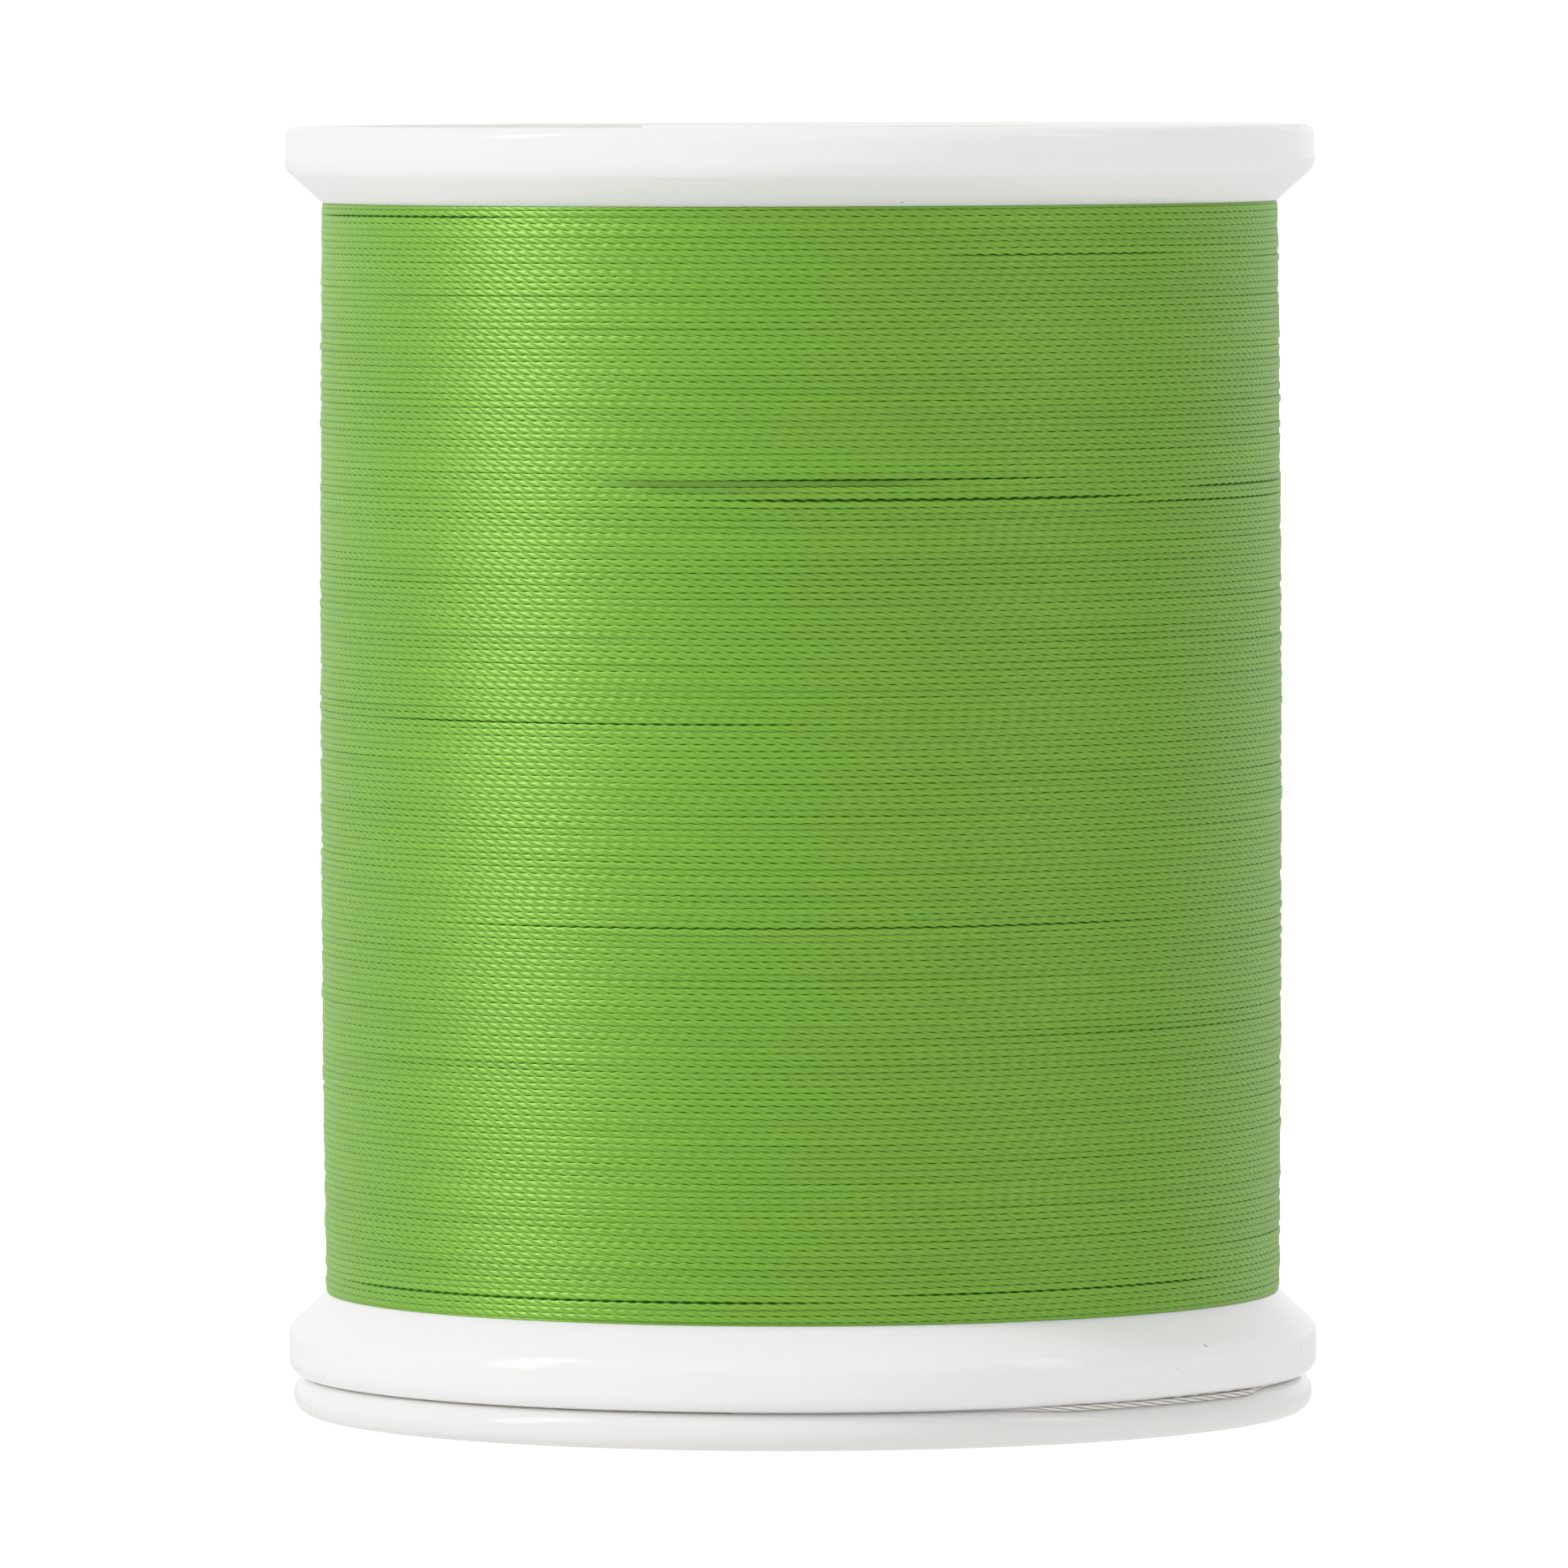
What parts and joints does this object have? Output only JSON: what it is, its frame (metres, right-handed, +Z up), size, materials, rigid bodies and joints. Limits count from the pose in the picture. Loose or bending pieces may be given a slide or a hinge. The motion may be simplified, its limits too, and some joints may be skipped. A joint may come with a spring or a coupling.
{
  "type": "spool of thread",
  "caption": "Snap spool of sewing thread: white bevel-flanged plastic spool full of green twisted thread, with a clip base that slides down to open a groove for the loose end.",
  "frame": {"origin": "centre of the base's underside, on the spool's axis", "axes": "+Z up the spool's axis from the snap base to the top face; -Y is the side that faces the viewer; +X is to the viewer's right"},
  "size_m": [0.0446, 0.0446, 0.0556],
  "materials": {
    "white_plastic": "polished moulding",
    "base_plastic": "polished moulding",
    "green_thread": "lustrous twisted polyester",
    "tail_thread": "lustrous twisted polyester",
    "label_paper": "coated paper, plain print"
  },
  "bodies": {
    "spool": {"spool_body": "white_plastic", "thread_winding": "green_thread", "thread_tail": "tail_thread", "top_label": "label_paper"},
    "base": {"snap_base": "base_plastic", "base_label": "label_paper"}
  },
  "joints": [
    {"name": "base_slide", "type": "slide", "parent": "spool", "child": "base", "axis": [0, 0, -1], "range_m": [0, 0.002]}
  ]
}
